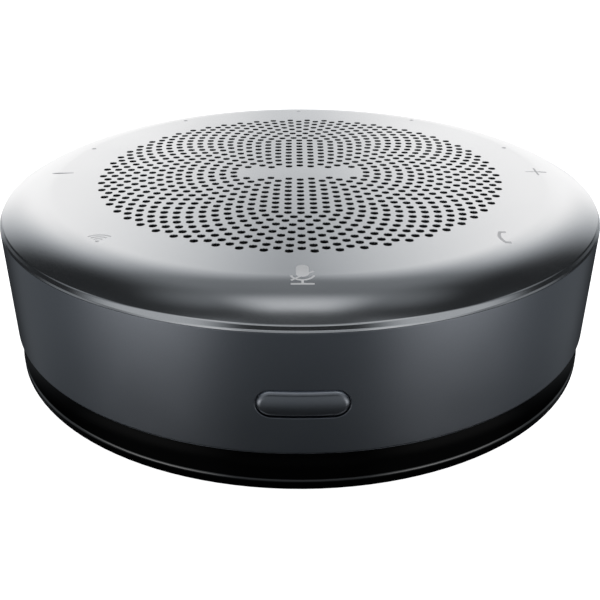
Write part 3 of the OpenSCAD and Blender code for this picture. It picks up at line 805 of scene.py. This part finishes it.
def cut_edge_highlight_metal(name, colour, roughness):
    """Blasted face with a bright-cut edge where it rolls over into the side, its colour brightened
    there as a painted highlight.
    """
    made = blasted_metal(name, colour, roughness)
    reach = made.node("ShaderNodeVectorMath", operation="LENGTH")
    made.link(made.stretched((1, 1, 0)), reach.inputs[0])
    cut_highlight_span = (FACE_R - CUT_HIGHLIGHT_FULL, FACE_R - CUT_HIGHLIGHT_START)
    # The rim's colour is raised to several times the face's: a painted highlight along the edge.
    gain = rescaled(made.tree, reach.outputs["Value"], cut_highlight_span, (CUT_HIGHLIGHT_GAIN, 1))
    brighter = made.node("ShaderNodeVectorMath", operation="SCALE")
    made.link(made.shader.inputs["Base Color"].links[0].from_socket, brighter.inputs[0])
    made.link(gain, brighter.inputs["Scale"])
    made.link(brighter.outputs["Vector"], made.shader.inputs["Base Color"])
    return made


def turned_metal(name, colour, roughness):
    """Bare or plated metal with fine machining marks and a little staining."""
    made = Finish(name, colour, roughness, metallic=1.0)
    made.vary_roughness(made.noise(3 * MM), 0.08)
    made.vary_colour(made.noise(2 * MM, detail=5.0), 0.85, 1.05)
    made.raise_by(made.noise(0.12 * MM, stretch=(1, 1, 6)), 0.01 * MM, 0.3)
    return made


def moulded(name, colour, roughness, grain=0.25 * MM, depth=0.012 * MM):
    """Moulded plastic or rubber with spark-eroded grain."""
    made = Finish(name, colour, roughness)
    made.vary_roughness(made.noise(6 * MM), 0.06)
    made.vary_colour(made.noise(4 * MM, detail=4.0), 0.88, 1.08)
    made.raise_by(made.noise(grain, detail=3.0), depth, 0.5)
    return made


def glossy(name, colour, roughness):
    """Polished moulding: slight waviness and the faintest haze."""
    made = Finish(name, colour, roughness)
    made.vary_roughness(made.noise(9 * MM), 0.03)
    made.vary_colour(made.noise(12 * MM), 0.8, 1.1)
    made.raise_by(made.noise(5 * MM), 0.004 * MM, 0.15)
    return made


def polished_base_skirt_shade(name, colour, roughness):
    """Black moulding, polished underneath and along the bend of its lip. The skirt between has its
    reflection turned almost off, a painted shade under the body.
    """
    made = glossy(name, colour, roughness)
    place = made.node("ShaderNodeSeparateXYZ")
    made.link(made.place, place.inputs[0])
    facing = made.node("ShaderNodeSeparateXYZ")
    made.link(made.node("ShaderNodeTexCoord").outputs["Normal"], facing.inputs[0])
    at_lip = maths(made.tree, "COMPARE", place.outputs["Z"], LIP_Z, LIP_HALF)
    under = maths(made.tree, "LESS_THAN", facing.outputs["Z"], UNDERSIDE)
    polished = maths(made.tree, "MAXIMUM", at_lip, under)
    # Reflection turned almost off on the skirt, picked out by height: painted shade under the body.
    shine = rescaled(made.tree, polished, (0, 1), (SKIRT_SHADE_SHINE, FULL_SHINE))
    made.link(shine, made.shader.inputs["Specular IOR Level"])
    return made


def woven(name, colour, roughness, pitch, depth):
    """Cloth of two crossing sets of threads, with painted shade in the gaps between them."""
    made = Finish(name, colour, roughness)
    weave = maths(made.tree, "MULTIPLY", made.stripes(pitch, "X"), made.stripes(pitch, "Y"))
    # Colour darker between the threads, where they sink: painted shade in the gaps.
    made.vary_colour(weave, 0.35, 1.2)
    made.vary_roughness(made.noise(2 * MM), 0.05)
    made.raise_by(weave, depth, 0.7)
    return made


def foamed(name, colour):
    """Open foam with small pits, painted darker inside them as painted shade."""
    made = Finish(name, colour, 0.95)
    pits = made.cells(0.35 * MM)
    # The pits' colour is darkened towards their middles: painted shade in the hollows.
    made.vary_colour(pits, 0.5, 1.2)
    made.vary_roughness(made.noise(1 * MM), 0.04)
    made.raise_by(pits, 0.06 * MM, 0.8)
    return made


def circuit_board(name, colour):
    """Solder mask over copper tracks, with the glass weave just showing."""
    made = Finish(name, colour, 0.34)
    tracks = made.node("ShaderNodeTexBrick", Scale=1 / (7 * MM))
    made.link(made.place, tracks.inputs["Vector"])
    set_input(tracks, "Mortar Size", 0.02)
    for name, grey in (("Color1", 0.35), ("Color2", 0.55), ("Mortar", 1.0)):
        set_input(tracks, name, tint((grey, grey, grey)))
    made.vary_colour(tracks.outputs["Color"], 0.8, 2.2)
    made.vary_roughness(made.noise(4 * MM), 0.05)
    made.raise_by(tracks.outputs["Fac"], 0.02 * MM, 0.4)
    made.raise_by(made.stripes(0.4 * MM, "X"), 0.003 * MM, 0.2)
    return made


def wound_wire(name, colour):
    """Close turns of enamelled wire, with painted shade in the grooves between them."""
    made = Finish(name, colour, 0.25, metallic=0.9)
    turns = made.stripes(0.16 * MM, "Z")
    # Colour darker where the turns sink between each other: painted shade in the grooves.
    made.vary_colour(turns, 0.5, 1.1)
    made.vary_roughness(made.noise(1 * MM), 0.05)
    made.raise_by(turns, 0.05 * MM, 0.8)
    return made


def pressed_paper(name, colour):
    """Felted fibres, pressed to shape."""
    made = Finish(name, colour, 0.85)
    fibres = made.noise(0.5 * MM, detail=6.0, stretch=(1, 2.5, 1))
    made.vary_colour(fibres, 0.6, 1.4)
    made.vary_roughness(made.noise(3 * MM), 0.05)
    made.raise_by(fibres, 0.04 * MM, 0.5)
    return made


def printed_film(name, colour, roughness, pitch):
    """Thin film with its fine parallel conductors."""
    made = Finish(name, colour, roughness)
    lines = made.stripes(pitch, "X", stretch=(1, 0.4, 1))
    made.vary_colour(lines, 0.65, 1.15)
    made.vary_roughness(made.noise(2 * MM), 0.06)
    made.raise_by(lines, 0.01 * MM, 0.4)
    return made


def wrapped_foil(name, colour):
    """Battery pouch with soft creases, painted a little darker in their hollows as painted shade."""
    made = Finish(name, colour, 0.32, metallic=0.75)
    creases = made.noise(7 * MM, detail=6.0)
    # Colour a little darker where the creases sink: painted shade.
    made.vary_colour(creases, 0.85, 1.05)
    made.vary_roughness(made.noise(2 * MM), 0.08)
    made.raise_by(creases, 0.15 * MM, 0.5)
    return made


def make_finishes():
    """Every material, by the name of its slot in the record."""
    for packed in list(bpy.data.materials):
        packed.name = PACKED + packed.name
    finishes = [
        blasted_metal("satin_silver", (0.80, 0.80, 0.805), 0.17),
        blasted_metal("slate_metal", (0.235, 0.25, 0.275), 0.295),
        cut_edge_highlight_metal("button_metal", (0.28, 0.295, 0.32), 0.34),
        polished_base_skirt_shade("gloss_black", (0.0015, 0.0015, 0.0016), 0.12),
        moulded("rubber_black", (0.024, 0.024, 0.025), 0.7),
        moulded("print_grey", (0.66, 0.66, 0.665), 0.6, grain=0.15 * MM, depth=0.004 * MM),
        moulded("light_pipe", (0.50, 0.50, 0.51), 0.35, grain=0.2 * MM, depth=0.003 * MM),
        woven("acoustic_black", (0.006, 0.006, 0.007), 0.95, 0.3 * MM, 0.05 * MM),
        turned_metal("screw_steel", (0.55, 0.55, 0.56), 0.36),
        moulded("frame_plastic", (0.05, 0.05, 0.055), 0.55),
        circuit_board("board_green", (0.012, 0.10, 0.035)),
        foamed("foam_black", (0.03, 0.03, 0.032)),
        moulded("led_white", (0.75, 0.74, 0.62), 0.3, grain=0.3 * MM, depth=0.004 * MM),
        turned_metal("mic_gold", (0.78, 0.58, 0.25), 0.36),
        turned_metal("pressed_steel", (0.12, 0.12, 0.125), 0.45),
        turned_metal("zinc_steel", (0.62, 0.64, 0.67), 0.36),
        moulded("ferrite", (0.035, 0.035, 0.038), 0.6, grain=0.12 * MM, depth=0.02 * MM),
        pressed_paper("paper_cone", (0.035, 0.035, 0.037)),
        glossy("cap_black", (0.02, 0.02, 0.021), 0.33),
        wound_wire("copper_coil", (0.72, 0.30, 0.12)),
        moulded("roll_rubber", (0.014, 0.014, 0.015), 0.5, grain=0.4 * MM, depth=0.01 * MM),
        woven("spider_cloth", (0.55, 0.33, 0.10), 0.9, 0.5 * MM, 0.08 * MM),
        pressed_paper("fibre_board", (0.32, 0.19, 0.09)),
        moulded("chip_black", (0.015, 0.015, 0.016), 0.5, grain=0.1 * MM, depth=0.006 * MM),
        circuit_board("module_blue", (0.01, 0.04, 0.16)),
        turned_metal("can_tin", (0.70, 0.70, 0.69), 0.36),
        moulded("plug_white", (0.72, 0.70, 0.64), 0.45, grain=0.3 * MM, depth=0.006 * MM),
        turned_metal("socket_steel", (0.58, 0.58, 0.59), 0.36),
        wrapped_foil("cell_foil", (0.55, 0.56, 0.58)),
        moulded("lead_red", (0.45, 0.02, 0.015), 0.4, grain=0.8 * MM, depth=0.01 * MM),
        moulded("lead_black", (0.015, 0.015, 0.015), 0.4, grain=0.8 * MM, depth=0.01 * MM),
        printed_film("film_amber", (0.42, 0.20, 0.045), 0.3, 0.5 * MM),
        moulded("plunger_ivory", (0.62, 0.56, 0.42), 0.4, grain=0.3 * MM, depth=0.005 * MM),
    ]
    return {finish.material.name: finish.material for finish in finishes}


def dress_cad_nodes(finishes):
    """Gives each CAD node the finish of the slot that it was packed with."""
    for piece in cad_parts.values():
        for slot in piece.material_slots:
            slot.material = finishes[slot.material.name.removeprefix(PACKED)]


# ---------- Floor, light and camera ----------

# Level of the room between the lights, the tone that the darkest light takes on, and the lights
ROOM = 0.02
SHADE = (0.84, 0.92, 1.0)
STUDIO = (
    # strength, bearings (from, softness, to, softness), elevations (from, softness, to, softness)
    (0.74, (-90, 10, 40, 13), (-14, 6, 23, 6)),
    (1.10, (-2, 14, 40, 13), (-14, 6, 22, 6)),
    (1.10, (3, 18, 40, 13), (-14, 6, 38, 23)),
    (0.19, (-90, 10, 41, 18), (-14, 6, 70, 15)),
    (0.62, (-90, 10, 41, 22), (68.5, 9, 82.5, 2)),
    (0.17, (0, 10, 64, 14), (59, 8, 74, 6)),
    (0.25, (72, 6, 100, 10), (20, 20, 48, 8)),
    (0.25, (90, 8, 115, 10), (48, 8, 78, 6)),
    (0.44, (103, 13, 152, 10), (-20, 8, 75, 9)),
    (0.62, (108, 13, 150, 10), (45, 12, 72, 8)),
    (1.90, (102, 26, 149, 16), (-25.5, 5, -8, 8)),
    (0.19, (45, 10, 115, 10), (-34, 6, -8, 8)),
    (1.10, (-90, 10, 21, 7), (-37, 6, -14, 6)),
    (0.36, (150, 10, 270, 10), (-19, 6, -3, 5)),
    (0.28, (150, 10, 270, 10), (42, 10, 80, 9)),
    (0.55, (148, 14, 270, 10), (27, 7, 47, 8)),
    (0.23, (45, 10, 270, 10), (-32, 5.5, -14, 6)),
    (0.06, (-90, 10, 270, 10), (76, 12, 120, 1)),
    (0.55, (-90, 10, 112, 14), (-120, 1, -60, 6)),
)

# Overhead light: its level, its diameter and its place
FILL_LEVEL = 1.1
FILL_SIZE = 1.5
FILL_PLACE = (0, -0.3, 1.0)

FLOOR_HALF = 4.0

# Camera: its place, how far it looks down and turns aside in degrees, and its lens and sensor
CAMERA_PLACE = (-1.41 * MM, -179.83 * MM, TOP_Z + 60.4 * MM)
CAMERA_DOWN = 27.11
CAMERA_ASIDE = -0.45
LENS = 50.99
SENSOR = 36


def make_floor():
    """Plain pale floor. From below it isn't there, so that the underside can be seen."""
    mesh = bpy.data.meshes.new("floor")
    signs = ((-1, -1), (1, -1), (1, 1), (-1, 1))
    corners = [(x * FLOOR_HALF, y * FLOOR_HALF, 0) for x, y in signs]
    mesh.from_pydata(corners, [], [(0, 1, 2, 3)])
    floor = bpy.data.objects.new("floor", mesh)
    bpy.context.scene.collection.objects.link(floor)
    finish = Finish("floor_white", (0.85, 0.85, 0.85), 0.9)
    set_input(finish.shader, "Emission Color", (1, 1, 1, 1))
    set_input(finish.shader, "Emission Strength", 1.0)
    clear = finish.node("ShaderNodeBsdfTransparent")
    side = finish.node("ShaderNodeNewGeometry")
    mix = finish.node("ShaderNodeMixShader")
    finish.link(side.outputs["Backfacing"], mix.inputs["Fac"])
    finish.link(finish.shader.outputs[0], mix.inputs[1])
    finish.link(clear.outputs[0], mix.inputs[2])
    finish.link(mix.outputs[0], finish.tree.nodes["Material Output"].inputs["Surface"])
    mesh.materials.append(finish.material)
    floor.visible_glossy = False
    floor.visible_diffuse = False


def make_fill():
    """Broad light overhead for the matte surfaces alone."""
    data = bpy.data.lights.new("fill_overhead", "AREA")
    data.shape = "DISK"
    data.size = FILL_SIZE
    data.energy = FILL_LEVEL * math.pi * math.pi * (FILL_SIZE / 2) ** 2
    light = bpy.data.objects.new("fill_overhead", data)
    light.location = FILL_PLACE
    light.visible_camera = False
    light.visible_glossy = False
    bpy.context.scene.collection.objects.link(light)


def make_world():
    """White behind everything, and a soft studio for the metal to reflect.

    The studio is the same on both sides, so a light's place is its span of bearings from the
    middle of the back (0) round to the front (180), and its span of elevations. Each end of a
    span fades over the softness that follows it."""
    world = bpy.data.worlds.new("studio")
    bpy.context.scene.world = world
    world.use_nodes = True
    tree = world.node_tree
    nodes, links = tree.nodes, tree.links

    def fade(value, edge, softness):
        """From 0 to 1 where the value passes the edge upwards."""
        span = (math.radians(edge - softness), math.radians(edge + softness))
        return rescaled(tree, value, span, smooth=True)

    heading = nodes.new("ShaderNodeSeparateXYZ")
    links.new(nodes.new("ShaderNodeTexCoord").outputs["Generated"], heading.inputs[0])
    turn = maths(tree, "ARCTAN2", heading.outputs["X"], heading.outputs["Y"])
    bearing = maths(tree, "ABSOLUTE", turn)
    elevation = maths(tree, "ARCSINE", heading.outputs["Z"])

    def light(strength, bearings, elevations):
        """Level of one light: its strength inside both spans, and nothing outside them."""
        level = strength
        for value, span in ((bearing, bearings), (elevation, elevations)):
            low, low_soft, high, high_soft = span
            beyond = fade(value, high, high_soft)
            level = maths(tree, "MULTIPLY", level, fade(value, low, low_soft))
            level = maths(tree, "MULTIPLY", level, maths(tree, "SUBTRACT", 1.0, beyond))
        return level

    level = ROOM
    for strength, bearings, elevations in STUDIO:
        level = maths(tree, "MAXIMUM", level, light(strength, bearings, elevations))
    room = nodes["Background"]
    links.new(level, room.inputs["Strength"])
    tone = nodes.new("ShaderNodeValToRGB")
    tone.color_ramp.elements[0].color = (*SHADE, 1)
    links.new(level, tone.inputs["Fac"])
    links.new(tone.outputs["Color"], room.inputs["Color"])

    white = nodes.new("ShaderNodeBackground")
    set_input(white, "Color", (1, 1, 1, 1))
    seen = nodes.new("ShaderNodeLightPath")
    mix = nodes.new("ShaderNodeMixShader")
    links.new(seen.outputs["Is Camera Ray"], mix.inputs["Fac"])
    links.new(room.outputs[0], mix.inputs[1])
    links.new(white.outputs[0], mix.inputs[2])
    links.new(mix.outputs[0], nodes["World Output"].inputs["Surface"])


def make_camera():
    """In front and above, looking down on the top and the button."""
    data = bpy.data.cameras.new("camera")
    data.sensor_width = SENSOR
    data.lens = LENS
    data.clip_start = 0.01
    camera = bpy.data.objects.new("camera", data)
    camera.location = CAMERA_PLACE
    camera.rotation_euler = (math.radians(90 - CAMERA_DOWN), 0, math.radians(CAMERA_ASIDE))
    bpy.context.scene.collection.objects.link(camera)
    bpy.context.scene.camera = camera


make_camera()
make_floor()
make_fill()
make_world()
bpy.context.scene.view_settings.view_transform = "Standard"

finishes = make_finishes()
dress_cad_nodes(finishes)
make_cover(finishes["satin_silver"])
make_sleeve(finishes["slate_metal"])
make_button(finishes["button_metal"])
